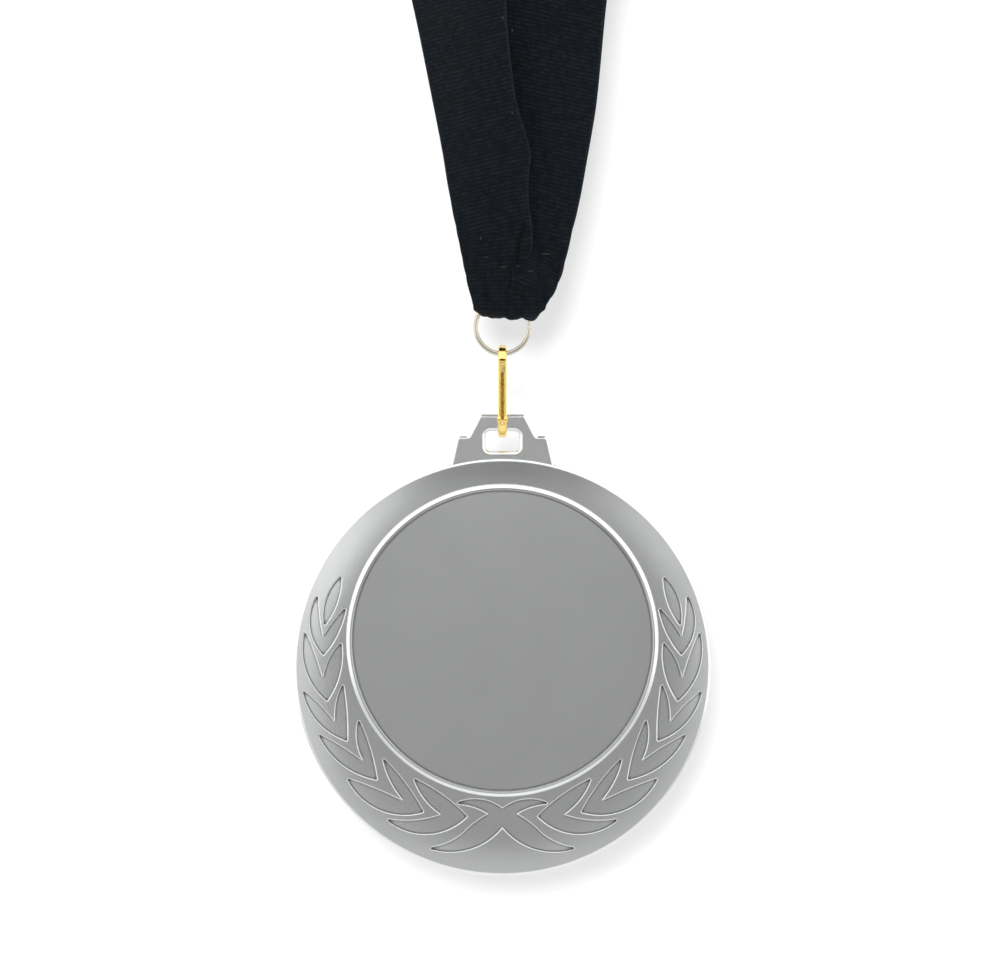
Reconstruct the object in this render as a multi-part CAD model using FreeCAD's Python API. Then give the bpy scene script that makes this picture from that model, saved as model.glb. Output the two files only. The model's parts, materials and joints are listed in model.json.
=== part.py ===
import FreeCAD, Part
import math
import os

from FreeCAD import Vector

# A prize medal hanging from its neck ribbon. The disc stands upright and faces -Y, +Z is up.
# The origin is on the inside of the ribbon loop at its highest point, where a neck or a peg
# carries it. Millimetres and degrees.

# ---- Driving dimensions: the disc -----------------------------------------------------
DISC_R = 35.0
DISC_T = 3.0
RIM_FLAT_R = 26.0          # inside this radius the front is flat, outside it curves away
RIM_DROP = 0.60            # how far the front falls from RIM_FLAT_R to the disc's edge
EDGE_ROUND = 0.45

EMBLEM_R = 25.25           # the recess takes a 50 mm emblem
EMBLEM_DEPTH = 0.9
RECESS_UP = 4.43           # the recess sits this far above the disc's centre
LIP_W = 1.0                # the lip round the recess slopes up from outside to its crown
LIP_CROWN_W = 0.3          # from the recess's wall to the crown
LIP_PROUD = 0.22
LABEL_DEPTH = 0.4          # shallow recess of the same radius on the back

# ---- The lug and its slot ---------------------------------------------------------------
LUG_T = 1.6
LUG_BASE_HALF = 8.85
LUG_SHOULDER_HALF = 7.7
LUG_NECK_HALF = 5.76
LUG_TOP_HALF = 3.9
LUG_SHOULDER_UP = 3.8      # heights above the disc's edge
LUG_TOP_UP = 7.42
LUG_CORNER_R = 0.75
LUG_INNER_R = 0.4
LUG_BEVEL = 0.45
SLOT_HALF = 2.77
SLOT_H = 3.3
SLOT_CORNER_R = 0.75
SLOT_ROUND = 0.70          # both faces, so the bar above the slot is nearly round below
BAR_H = 2.85               # metal between the slot and the top of the lug

# ---- The wreath ---------------------------------------------------------------------------
WREATH_R = 35.0            # the disc radius that the leaves' outlines are drawn for
LEAF_DEPTH = 0.45
LEAF_TIP_R = 0.16
LEAF_EDGE_R = 0.13

# ---- The clip -----------------------------------------------------------------------------
CLIP_W = 1.5               # along X
CLIP_H = 15.48
CLIP_DEPTH = 6.6           # along Y, over both legs
CLIP_WIRE = 0.9            # thickness of the flat wire in the plane of the hook
CLIP_ROUND = 0.38          # the wire's long edges
NOSE_ANGLE = 16.5          # the nose ends this far above the upper bend's centre
HEEL_ANGLE = 22.7          # the full wire ends this far below the lower bend's centre
TONGUE_W = 0.5
TONGUE_R = 0.33            # half the tongue's height, and the radius of its eye
RIVET_R = 0.2
RIVET_HEAD_R = 0.42
RIVET_HEAD_T = 0.10
RIVET_UP = 0.35            # the rivet is this far below the lower bend's centre
GATE_WALL = 0.42
GATE_WEB = 0.3
GATE_ROUND = 0.25          # the cheeks' front edges
GATE_CHANNEL_D = 1.25      # depth of the channel along Y
GATE_HEEL_R = 0.66
GATE_HEAD_H = 1.9
GATE_LIP_H = 0.55
GATE_LIP_T = 0.4
GATE_GAP = 0.09            # between the gate's head and the nose
GATE_LIP_GAP = 0.08        # between the lip behind the nose and the nose itself
RUN_GAP = 0.03             # running clearance of the rivet
SPRING_W = 0.42
SPRING_T = 0.1

# ---- The ring ------------------------------------------------------------------------------
RING_OD = 9.8
RING_WIRE = 0.8
RING_SPLIT = 0.25

# ---- The ribbon ----------------------------------------------------------------------------
NECK_R = 56.0
RIBBON_W = 22.0
RIBBON_T = 0.5
RIBBON_LEAN = 10.0         # each strap leans out by this much
GATHER_W = 12.5            # width of a strap where it enters the sewn bundle
FLARE_H = 75.0             # a strap reaches its full width this far above the apex
LAYER_GAP = 0.35           # between the two straps where they leave the bundle
APEX_UP = 9.4              # where the straps' centre lines meet, above the fold
BUNDLE_T = 4.4
BUNDLE_TOP_T = 1.7
FOLD_HALF = 4.2            # half the width of the fold's lower edge
BUNDLE_HALF = 8.2          # half the width at the top of the bundle
TUNNEL_GAP = 0.32          # round the ring's wire, in the ring's plane
TUNNEL_HALF_T = 1.3        # room for the ring to swing fore and aft

STITCHES = 5
STITCH_PITCH = 1.9
STITCH_LEN = 1.5
THREAD_R = 0.17
STITCH_UP = 8.8            # above the fold
STITCH_SHIFT = 1.2         # the row is a little off the middle

# ---- Clearances that hang one piece on the next ----------------------------------------------
RING_BELOW_FOLD = 1.5      # the ring's centre, under the fold
CLIP_ON_RING = 0.15
LUG_ON_CLIP = 0.12

# ---- Heights, from the neck down --------------------------------------------------------------
RING_R = RING_OD / 2 - RING_WIRE / 2
RING_R_IN = RING_OD / 2 - RING_WIRE
LOOP_R = NECK_R + RIBBON_T / 2
LEAN = math.radians(RIBBON_LEAN)
LOOP_Z = -NECK_R
APEX_Z = LOOP_Z - LOOP_R / math.sin(LEAN)
FOLD_Z = APEX_Z - APEX_UP
RING_Z = FOLD_Z - RING_BELOW_FOLD
CLIP_TOP_Z = RING_Z - RING_R_IN + CLIP_ON_RING + CLIP_WIRE
CLIP_BOTTOM_Z = CLIP_TOP_Z - CLIP_H
SLOT_TOP_Z = CLIP_BOTTOM_Z + CLIP_WIRE + LUG_ON_CLIP
SLOT_TOP_UP = DISC_R + LUG_TOP_UP - BAR_H
DISC_Z = SLOT_TOP_Z - SLOT_TOP_UP

BEND_R = CLIP_DEPTH / 2
BEND_R_IN = BEND_R - CLIP_WIRE
BENDS_APART = CLIP_H - CLIP_DEPTH
LOWER_BEND_Z = CLIP_BOTTOM_Z + BEND_R
RIVET_Y = -BEND_R + CLIP_WIRE / 2


# ---- Small helpers --------------------------------------------------------------------------
def polygon_face(points):
    """A flat face from straight runs."""
    return Part.Face(Part.makePolygon(points + [points[0]]))


def prism_xz(points, y_low, y_high):
    """A prism along Y on an outline given as (x, z) points."""
    face = polygon_face([Vector(x, y_low, z) for x, z in points])
    return face.extrude(Vector(0, y_high - y_low, 0))


def slab(x_half, y_low, y_high, z_low, z_high):
    """A box centred on X."""
    return Part.makeBox(2 * x_half, y_high - y_low, z_high - z_low, Vector(-x_half, y_low, z_low))


def cylinder_x(radius, x_low, x_high, y, z):
    """A round bar along X."""
    return Part.makeCylinder(radius, x_high - x_low, Vector(x_low, y, z), Vector(1, 0, 0))


def cylinder_y(radius, y_low, y_high, x, z):
    """A round bar along Y."""
    return Part.makeCylinder(radius, y_high - y_low, Vector(x, y_low, z), Vector(0, 1, 0))


def revolve_y(edges, z):
    """A body of revolution about a line along Y at height z, from a closed outline."""
    face = Part.Face(Part.Wire(edges))
    return face.revolve(Vector(0, 0, z), Vector(0, 1, 0), 360)


def line(a, b):
    """A straight edge."""
    return Part.LineSegment(a, b).toShape()


def arc(a, via, b):
    """A circular edge through three points."""
    return Part.Arc(a, via, b).toShape()


def round_upright_edges(solid, radius, wanted=None):
    """Round the edges that run along Y, all of them or those that wanted(x, z) picks."""
    picked = []
    for edge in solid.Edges:
        run = edge.Vertexes[0].Point - edge.Vertexes[-1].Point
        if abs(run.x) < 1e-6 and abs(run.z) < 1e-6 and abs(run.y) > 1e-3:
            place = edge.Vertexes[0].Point
            if wanted is None or wanted(place.x, place.z):
                picked.append(edge)
    return solid.makeFillet(radius, picked)


# ---- The medal, built round the disc's centre ----------------------------------------------
def rim_drop(radius):
    """How far the domed front lies behind its flat middle at a distance from the centre."""
    span = DISC_R - RIM_FLAT_R
    curve_r = (span ** 2 + RIM_DROP ** 2) / (2 * RIM_DROP)
    out = max(0.0, radius - RIM_FLAT_R)
    return curve_r - math.sqrt(curve_r ** 2 - out ** 2)


def dome_point(radius, sink):
    """A point of the front surface, sunk by sink, in the plane x = radius."""
    return Vector(radius, -DISC_T / 2 + rim_drop(radius) + sink, 0)


def disc_blank():
    """The disc with its domed front and rounded edge, before any recess."""
    half = DISC_T / 2
    mid_r = (RIM_FLAT_R + DISC_R) / 2
    edges = [
        line(Vector(0, -half, 0), dome_point(RIM_FLAT_R, 0)),
        arc(dome_point(RIM_FLAT_R, 0), dome_point(mid_r, 0), dome_point(DISC_R, 0)),
        line(dome_point(DISC_R, 0), Vector(DISC_R, half, 0)),
        line(Vector(DISC_R, half, 0), Vector(0, half, 0)),
        line(Vector(0, half, 0), Vector(0, -half, 0)),
    ]
    disc = revolve_y(edges, 0)
    rims = [edge for edge in disc.Edges if edge.Closed and abs(edge.BoundBox.XMax - DISC_R) < 1e-4]
    return disc.makeFillet(EDGE_ROUND, rims)


def recess_lip():
    """The lip that stands round the emblem recess: a slope, a rounded crown and an upright wall."""
    z = RECESS_UP
    front = -DISC_T / 2
    crest = front - LIP_PROUD
    outer = Vector(EMBLEM_R + LIP_W, front + 0.04, z)
    crown = Vector(EMBLEM_R + LIP_CROWN_W, crest, z)
    turn = Vector(EMBLEM_R + 0.3 * LIP_CROWN_W, crest + 0.25 * LIP_CROWN_W, z)
    inner = Vector(EMBLEM_R, crest + 0.7 * LIP_CROWN_W, z)
    foot_in = Vector(EMBLEM_R, front + EMBLEM_DEPTH + 0.2, z)
    foot_out = Vector(EMBLEM_R + LIP_W, front + EMBLEM_DEPTH + 0.2, z)
    edges = [
        line(outer, crown),
        arc(crown, turn, inner),
        line(inner, foot_in),
        line(foot_in, foot_out),
        line(foot_out, outer),
    ]
    return revolve_y(edges, z)


def lug():
    """The stepped lug with bevelled faces, before its slot."""
    base_z = math.sqrt(DISC_R ** 2 - LUG_BASE_HALF ** 2)
    shoulder_z = DISC_R + LUG_SHOULDER_UP
    right = [
        (LUG_BASE_HALF, base_z),
        (LUG_SHOULDER_HALF, shoulder_z),
        (LUG_NECK_HALF, shoulder_z),
        (LUG_TOP_HALF, DISC_R + LUG_TOP_UP),
    ]
    root = [(-LUG_BASE_HALF, RIM_FLAT_R), (LUG_BASE_HALF, RIM_FLAT_R)]
    outline = root + right + [(-x, z) for x, z in reversed(right)]
    plate = prism_xz(outline, -LUG_T / 2, LUG_T / 2)
    plate = round_upright_edges(
        plate, LUG_CORNER_R,
        lambda x, z: z > shoulder_z - 0.01 and abs(abs(x) - LUG_NECK_HALF) > 0.01)
    plate = round_upright_edges(
        plate, LUG_INNER_R,
        lambda x, z: abs(z - shoulder_z) < 0.01 and abs(abs(x) - LUG_NECK_HALF) < 0.01)
    rims = []
    for edge in plate.Edges:
        box = edge.BoundBox
        on_face = box.YLength < 1e-6
        if on_face and box.ZMax > base_z - 0.01:
            rims.append(edge)
    return plate.makeChamfer(LUG_BEVEL, rims)


def slot_cutter():
    """The slot's opening, flared to both faces."""
    low, top = SLOT_TOP_UP - SLOT_H, SLOT_TOP_UP
    corners = [(-SLOT_HALF, low), (SLOT_HALF, low), (SLOT_HALF, top), (-SLOT_HALF, top)]
    return round_upright_edges(prism_xz(corners, -DISC_T, DISC_T), SLOT_CORNER_R)


def leaf_outlines():
    """The wreath's right half, as runs of (corner, point on the way to the next corner).

    Each sprig is a pair of leaves that share one foot. It starts at the foot and goes round by
    the outer leaf's tip, the notch and the inner leaf's tip. (x, z) from the disc's centre, for
    a disc of radius WREATH_R.
    """
    top_leaf = [
        ((29.9, 6.9), (29.6, 11.3)),
        ((27.0, 15.3), (27.5, 11.5)),
    ]
    sprigs = [
        [((30.0, 2.0), (32.3, 7.2)), ((30.9, 12.2), (30.75, 8.5)),
         ((30.1, 4.9), (28.3, 7.7)), ((26.2, 10.1), (27.6, 5.6))],
        [((29.4, -5.7), (33.2, 0.4)), ((33.1, 6.0), (31.3, 1.5)),
         ((30.1, -2.3), (28.9, 1.6)), ((27.0, 4.2), (27.2, -0.8))],
        [((26.0, -12.4), (31.1, -9.0)), ((33.5, -3.9), (30.4, -6.6)),
         ((28.0, -9.5), (27.9, -6.2)), ((26.7, -2.7), (26.1, -7.7))],
        [((21.0, -18.9), (27.3, -16.0)), ((30.9, -11.2), (27.2, -13.2)),
         ((23.0, -16.1), (24.4, -12.3)), ((24.1, -8.7), (22.1, -13.9))],
        [((13.2, -24.3), (20.9, -23.8)), ((26.1, -18.6), (21.2, -20.4)),
         ((16.2, -22.7), (18.8, -19.0)), ((20.1, -15.1), (16.3, -19.4))],
        [((5.9, -25.0), (13.0, -28.0)), ((19.6, -25.4), (14.8, -25.7)),
         ((10.2, -24.7), (13.2, -21.9)), ((14.9, -18.6), (10.5, -21.1))],
    ]
    return [top_leaf] + sprigs


def stem_outline():
    """The crossed stems under the wreath: the right half, from the lower peak round to the V."""
    right = [
        ((0.0, -26.8), (7.2, -30.9)),
        ((12.6, -30.3), (9.5, -29.6)),
        ((6.4, -27.7), (4.4, -25.9)),
        ((2.3, -24.6), (5.2, -23.3)),
        ((8.0, -22.9), (4.6, -22.1)),
        ((0.0, -23.7), None),
    ]
    runs = [(right[i][0], right[i][1], right[i + 1][0]) for i in range(len(right) - 1)]
    mirrored = [tuple((-p[0], p[1]) for p in (b, via, a)) for a, via, b in reversed(runs)]
    return runs + mirrored


def closed_runs(corners):
    """Three-point runs of a closed outline."""
    ends = [corner for corner, via in corners[1:]] + [corners[0][0]]
    return [(corner, via, end) for (corner, via), end in zip(corners, ends)]


def outline_prism(runs, mirror):
    """A prism along Y on an outline of arcs, scaled to the disc, with its corners rounded."""
    scale = DISC_R / WREATH_R
    edges = []
    for run in runs:
        a, via, b = [Vector(x * mirror * scale, -DISC_T, z * scale) for x, z in run]
        edges.append(arc(a, via, b))
    face = Part.Face(Part.Wire(Part.__sortEdges__(edges)))
    solid = face.extrude(Vector(0, 2 * DISC_T, 0))
    return round_upright_edges(solid, LEAF_TIP_R)


def relief_band():
    """The layer under the domed front that the wreath is sunk into."""
    mid_r = (RIM_FLAT_R + DISC_R) / 2
    low_r = EMBLEM_R - RECESS_UP - 4
    top = -DISC_T / 2 - 1
    floor = LEAF_DEPTH
    edges = [
        line(Vector(low_r, top, 0), Vector(DISC_R, top, 0)),
        line(Vector(DISC_R, top, 0), dome_point(DISC_R, floor)),
        arc(dome_point(DISC_R, floor), dome_point(mid_r, floor), dome_point(RIM_FLAT_R, floor)),
        line(dome_point(RIM_FLAT_R, floor), dome_point(low_r, floor)),
        line(dome_point(low_r, floor), Vector(low_r, top, 0)),
    ]
    return revolve_y(edges, 0)


def wreath_cutters():
    """Every leaf and the crossed stems, as solids to sink into the rim."""
    band = relief_band()
    cutters = []
    for corners in leaf_outlines():
        for mirror in (1, -1):
            cutters.append(outline_prism(closed_runs(corners), mirror).common(band))
    cutters.append(outline_prism(stem_outline(), 1).common(band))
    return cutters


def on_front(edge):
    """Whether an edge lies on the domed front, inside the disc's rounded edge."""
    first, last = edge.ParameterRange
    for share in (0.1, 0.5, 0.9):
        point = edge.valueAt(first + (last - first) * share)
        radius = math.hypot(point.x, point.z)
        off = point.y + DISC_T / 2 - rim_drop(radius)
        if radius > DISC_R - 2 * EDGE_ROUND or abs(off) > 2e-3:
            return False
    return edge.Length < 2 * DISC_R


def wreathed_disc():
    """The disc with the wreath sunk into its rim and the leaves' upper edges rounded."""
    disc = disc_blank()
    for cutter in wreath_cutters():
        disc = disc.cut(cutter)
    return disc.makeFillet(LEAF_EDGE_R, [edge for edge in disc.Edges if on_front(edge)])


def medal_body():
    """The whole casting."""
    body = wreathed_disc().fuse(lug())
    body = body.cut(slot_cutter())
    slot_rims = []
    for edge in body.Edges:
        box = edge.BoundBox
        near_slot = abs(box.Center.x) <= SLOT_HALF + 0.01 and box.XLength <= 2 * SLOT_HALF + 0.01
        in_height = SLOT_TOP_UP - SLOT_H - 0.01 < box.ZMin and box.ZMax < SLOT_TOP_UP + 0.01
        on_face = box.YLength < 1e-6 and abs(abs(box.YMin) - LUG_T / 2) < 1e-4
        if near_slot and in_height and on_face:
            slot_rims.append(edge)
    body = body.makeFillet(SLOT_ROUND, slot_rims)
    body = body.fuse(recess_lip())
    body = body.cut(cylinder_y(EMBLEM_R, -DISC_T, -DISC_T / 2 + EMBLEM_DEPTH, 0, RECESS_UP))
    body = body.cut(cylinder_y(EMBLEM_R, DISC_T / 2 - LABEL_DEPTH, DISC_T, 0, RECESS_UP))
    return body


# ---- The clip, built round the lower bend's centre --------------------------------------------
def bend_point(radius, angle, centre_z):
    """A point of a bend in the hook's plane; 0 is the back leg, 90 is up, 180 the front."""
    turn = math.radians(angle)
    return Vector(0, radius * math.cos(turn), centre_z + radius * math.sin(turn))


def hook_wire():
    """The flat wire: nose, upper bend, back leg, lower bend and heel."""
    outer, inner = BEND_R, BEND_R_IN
    nose, heel = 180 - NOSE_ANGLE, 180 + HEEL_ANGLE
    up, low = BENDS_APART, 0
    edges = [
        arc(bend_point(outer, nose, up), bend_point(outer, 90, up), bend_point(outer, 0, up)),
        line(bend_point(outer, 0, up), bend_point(outer, 0, low)),
        arc(bend_point(outer, 0, low), bend_point(outer, 270, low), bend_point(outer, heel, low)),
        line(bend_point(outer, heel, low), bend_point(inner, heel, low)),
        arc(bend_point(inner, heel, low), bend_point(inner, 270, low), bend_point(inner, 0, low)),
        line(bend_point(inner, 0, low), bend_point(inner, 0, up)),
        arc(bend_point(inner, 0, up), bend_point(inner, 90, up), bend_point(inner, nose, up)),
        line(bend_point(inner, nose, up), bend_point(outer, nose, up)),
    ]
    face = Part.Face(Part.Wire(edges))
    solid = face.extrude(Vector(CLIP_W, 0, 0))
    solid.translate(Vector(-CLIP_W / 2, 0, 0))
    return solid


def soften(solid, radius, x_half):
    """Round the long edges that lie on the two flat sides at x = +-x_half."""
    picked = [
        edge for edge in solid.Edges
        if edge.BoundBox.XLength < 1e-6 and abs(abs(edge.BoundBox.XMin) - x_half) < 1e-4
    ]
    return solid.makeFillet(radius, picked)


def clip_body():
    """The hook with the narrow tongue that carries the rivet."""
    hook = soften(hook_wire(), CLIP_ROUND, CLIP_W / 2)
    heel = bend_point(BEND_R - CLIP_WIRE / 2, 180 + HEEL_ANGLE + 4, 0)
    pivot = Vector(0, RIVET_Y, -RIVET_UP)
    ahead = pivot - heel
    ahead.normalize()
    ahead.multiply(TONGUE_R)
    side = Vector(0, -ahead.z, ahead.y)
    outline = [
        line(heel + side, pivot + side),
        arc(pivot + side, pivot + ahead, pivot - side),
        line(pivot - side, heel - side),
        line(heel - side, heel + side),
    ]
    tongue = Part.Face(Part.Wire(outline)).extrude(Vector(TONGUE_W, 0, 0))
    tongue.translate(Vector(-TONGUE_W / 2, 0, 0))
    hole = cylinder_x(RIVET_R, -CLIP_W, CLIP_W, RIVET_Y, -RIVET_UP)
    return hook.fuse(tongue).cut(hole)


def gate_top_z():
    """Height of the gate's head, just under the nose."""
    return BENDS_APART + BEND_R_IN * math.sin(math.radians(NOSE_ANGLE)) - GATE_GAP


def clip_gate():
    """The folded gate: two cheeks, the web behind them and the solid head."""
    half = CLIP_W / 2
    front = -BEND_R
    web_back = front + GATE_CHANNEL_D
    top = gate_top_z()
    heel = cylinder_x(GATE_HEEL_R, -half, half, RIVET_Y, -RIVET_UP)
    plate = slab(half, front, web_back, -RIVET_UP, top)
    cheeks = [edge for edge in plate.Edges
              if edge.BoundBox.ZLength > 1 and edge.BoundBox.YMax < front + 0.01]
    gate = plate.makeFillet(GATE_ROUND, cheeks).fuse(heel)
    channel = slab(half - GATE_WALL, front - 1, web_back - GATE_WEB,
                   -RIVET_UP - 2 * GATE_HEEL_R, top - GATE_HEAD_H)
    below_web = slab(half - GATE_WALL, front - 1, web_back + 1,
                     -RIVET_UP - 2 * GATE_HEEL_R, -RIVET_UP + CLIP_WIRE / 2)
    gate = gate.cut(channel).cut(below_web)
    lip_rise = top + GATE_LIP_H - BENDS_APART
    lip_front = -math.sqrt(BEND_R_IN ** 2 - lip_rise ** 2) + GATE_LIP_GAP
    lip = slab(half - 0.15, lip_front, lip_front + GATE_LIP_T,
               top - GATE_HEAD_H / 2, top + GATE_LIP_H)
    bridge = slab(half - 0.15, web_back - GATE_WEB, lip_front + GATE_LIP_T,
                  top - GATE_HEAD_H / 2, top - GATE_GAP)
    gate = gate.fuse([lip, bridge]).removeSplitter()
    hole = cylinder_x(RIVET_R + RUN_GAP, -half - 1, half + 1, RIVET_Y, -RIVET_UP)
    return gate.cut(hole)


def gate_rivet():
    """The pin with its two upset heads."""
    reach = CLIP_W / 2 + RUN_GAP
    shank = cylinder_x(RIVET_R, -reach - RIVET_HEAD_T, reach + RIVET_HEAD_T, RIVET_Y, -RIVET_UP)
    heads = [cylinder_x(RIVET_HEAD_R, reach, reach + RIVET_HEAD_T, RIVET_Y, -RIVET_UP),
             cylinder_x(RIVET_HEAD_R, -reach - RIVET_HEAD_T, -reach, RIVET_Y, -RIVET_UP)]
    return shank.fuse(heads).removeSplitter()


def gate_spring():
    """The leaf that runs down the channel and presses on the tongue's front."""
    foot = Vector(0, RIVET_Y - TONGUE_R - 0.02, -RIVET_UP)
    knee = Vector(0, RIVET_Y + 0.1, (gate_top_z() - GATE_HEAD_H - RIVET_UP) / 2)
    head = Vector(0, -BEND_R + GATE_CHANNEL_D - GATE_WEB - SPRING_T, gate_top_z() - GATE_HEAD_H)
    thick = Vector(0, SPRING_T, 0)
    front = arc(foot - thick, knee - thick, head)
    back = arc(foot, knee, head + thick)
    outline = [front, line(head, head + thick), back, line(foot, foot - thick)]
    solid = Part.Face(Part.Wire(outline)).extrude(Vector(SPRING_W, 0, 0))
    solid.translate(Vector(-SPRING_W / 2, 0, 0))
    return solid


# ---- The ring ------------------------------------------------------------------------------------
def ribbon_ring():
    """A jump ring, cut through on its right side."""
    gap = math.degrees(RING_SPLIT / RING_R)
    section = Part.Circle(Vector(RING_R, 0, RING_Z), Vector(0, 0, 1), RING_WIRE / 2).toShape()
    face = Part.Face(Part.Wire([section]))
    face.rotate(Vector(0, 0, RING_Z), Vector(0, 1, 0), gap / 2)
    return face.revolve(Vector(0, 0, RING_Z), Vector(0, 1, 0), 360 - gap)


# ---- The ribbon ----------------------------------------------------------------------------------
def ease(share):
    """A smooth step from 0 to 1."""
    share = min(1.0, max(0.0, share))
    return share * share * (3 - 2 * share)


def strap_section(distance, side, length):
    """One cross-section of a strap: distance up from the apex along it, side -1 left, +1 right."""
    rise = distance / length
    centre = Vector(side * distance * math.sin(LEAN), 0, APEX_Z + distance * math.cos(LEAN))
    along = Vector(side * math.sin(LEAN), 0, math.cos(LEAN))
    turn = math.radians(90) * ease((distance - FLARE_H / 2) / (length - FLARE_H / 2))
    layer = side * (RIBBON_T + LAYER_GAP) / 2 * (1 - ease(rise * 2))
    centre = centre + Vector(0, layer, 0)
    flat = Vector(math.cos(LEAN), 0, -side * math.sin(LEAN))
    width_dir = flat * math.cos(turn) + Vector(0, side, 0) * math.sin(turn)
    width = GATHER_W + (RIBBON_W - GATHER_W) * ease(distance / FLARE_H)
    return centre, width_dir, along.cross(width_dir), width


def neck_section(angle):
    """One cross-section round the neck; angle 0 is the right side, 90 the top."""
    turn = math.radians(angle)
    outward = Vector(math.cos(turn), 0, math.sin(turn))
    centre = Vector(0, 0, LOOP_Z) + outward * LOOP_R
    return centre, Vector(0, 1, 0), outward, RIBBON_W


def section_wire(centre, width_dir, thick_dir, width):
    """A closed rectangle across the ribbon."""
    half_w = width_dir * (width / 2)
    half_t = thick_dir * (RIBBON_T / 2)
    corners = [centre + half_w + half_t, centre - half_w + half_t,
               centre - half_w - half_t, centre + half_w - half_t]
    return Part.makePolygon(corners + [corners[0]])


def ribbon_loop():
    """Both straps and the turn round the neck, as one band."""
    length = LOOP_R / math.tan(LEAN)
    steps = 18
    start = -2.5
    stations = [start + (length - start) * i / steps for i in range(steps + 1)]
    right = [strap_section(distance, 1, length) for distance in stations]
    arc_from = -RIBBON_LEAN
    arc_steps = 20
    arc_span = 180 + 2 * RIBBON_LEAN
    neck = [neck_section(arc_from + arc_span * i / arc_steps) for i in range(1, arc_steps)]
    left = [strap_section(distance, -1, length) for distance in reversed(stations)]
    wires = [section_wire(*section) for section in right]
    wires += [section_wire(*section) for section in neck]
    for centre, width_dir, thick_dir, width in left:
        wires.append(section_wire(centre, width_dir * -1, thick_dir * -1, width))
    return Part.makeLoft(wires, True, True)


def ribbon_bundle():
    """The gathered fold that wraps the ring, sewn shut above it."""
    top = APEX_Z + 2.0
    waist = FOLD_Z + 0.45 * (top - FOLD_Z)
    waist_half = FOLD_HALF + 0.55 * (BUNDLE_HALF - FOLD_HALF)
    outline = [(-FOLD_HALF, FOLD_Z), (FOLD_HALF, FOLD_Z), (waist_half, waist), (BUNDLE_HALF, top),
               (-BUNDLE_HALF, top), (-waist_half, waist)]
    plan = prism_xz(outline, -BUNDLE_T, BUNDLE_T)
    half, top_half = BUNDLE_T / 2, BUNDLE_TOP_T / 2
    shoulder = RING_Z + RING_OD / 2 + 1.2
    side = [
        arc(Vector(0, half, FOLD_Z + half), Vector(0, 0, FOLD_Z), Vector(0, -half, FOLD_Z + half)),
        line(Vector(0, -half, FOLD_Z + half), Vector(0, -half, shoulder)),
        line(Vector(0, -half, shoulder), Vector(0, -top_half, top)),
        line(Vector(0, -top_half, top), Vector(0, top_half, top)),
        line(Vector(0, top_half, top), Vector(0, half, shoulder)),
        line(Vector(0, half, shoulder), Vector(0, half, FOLD_Z + half)),
    ]
    profile = Part.Face(Part.Wire(side)).extrude(Vector(4 * BUNDLE_HALF, 0, 0))
    profile.translate(Vector(-2 * BUNDLE_HALF, 0, 0))
    tunnel_out = cylinder_y(RING_R + RING_WIRE / 2 + TUNNEL_GAP, -TUNNEL_HALF_T, TUNNEL_HALF_T, 0, RING_Z)
    tunnel_in = cylinder_y(RING_R_IN - TUNNEL_GAP, -TUNNEL_HALF_T, TUNNEL_HALF_T, 0, RING_Z)
    return plan.common(profile).cut(tunnel_out.cut(tunnel_in))


def neck_ribbon():
    """The whole band."""
    return ribbon_loop().fuse(ribbon_bundle()).removeSplitter()


def bundle_half_t(z):
    """Half the bundle's thickness at a height in its tapering part."""
    shoulder = RING_Z + RING_OD / 2 + 1.2
    top = APEX_Z + 2.0
    share = (z - shoulder) / (top - shoulder)
    return BUNDLE_T / 2 + (BUNDLE_TOP_T / 2 - BUNDLE_T / 2) * share


def thread_loop(x, z):
    """One stitch: a closed square loop of thread through the bundle."""
    reach = bundle_half_t(z) + THREAD_R / 2
    loop = Part.makeBox(STITCH_LEN + 2 * THREAD_R, 2 * (reach + THREAD_R), 2 * THREAD_R,
                        Vector(x - THREAD_R, -reach - THREAD_R, z - THREAD_R))
    loop = loop.makeFillet(THREAD_R / 2, loop.Edges)
    inside = Part.makeBox(STITCH_LEN - 2 * THREAD_R, 2 * (reach - THREAD_R), 4 * THREAD_R,
                          Vector(x + THREAD_R, THREAD_R - reach, z - 2 * THREAD_R))
    return loop.cut(inside)


def hem_stitching():
    """A short row of tack stitches across the bundle."""
    first = STITCH_SHIFT - STITCH_PITCH * STITCHES / 2 + (STITCH_PITCH - STITCH_LEN) / 2
    z = FOLD_Z + STITCH_UP
    loops = [thread_loop(first + STITCH_PITCH * i, z) for i in range(STITCHES)]
    return Part.makeCompound(loops)


# Each piece, and the height that it is lifted to from where its function builds it.
PIECES = {
    "medal_body": (medal_body, DISC_Z),
    "clip_body": (clip_body, LOWER_BEND_Z),
    "clip_gate": (clip_gate, LOWER_BEND_Z),
    "gate_rivet": (gate_rivet, LOWER_BEND_Z),
    "gate_spring": (gate_spring, LOWER_BEND_Z),
    "ribbon_ring": (ribbon_ring, 0),
    "neck_ribbon": (neck_ribbon, 0),
    "hem_stitching": (hem_stitching, 0),
}

os.makedirs("parts", exist_ok=True)
for name, (build, height) in PIECES.items():
    shape = build()
    shape.translate(Vector(0, 0, height))
    if not shape.isValid():
        raise RuntimeError(name + " is not a valid solid")
    shape.exportStep("parts/" + name + ".step")
    box = shape.BoundBox
    print("%-14s solids %d  volume %10.3f  x %.2f..%.2f  y %.2f..%.2f  z %.2f..%.2f" % (
        name, len(shape.Solids), shape.Volume,
        box.XMin, box.XMax, box.YMin, box.YMax, box.ZMin, box.ZMax))
print("disc centre z %.3f, ring centre z %.3f, fold z %.3f" % (DISC_Z, RING_Z, FOLD_Z))
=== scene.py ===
import json
import math

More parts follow.
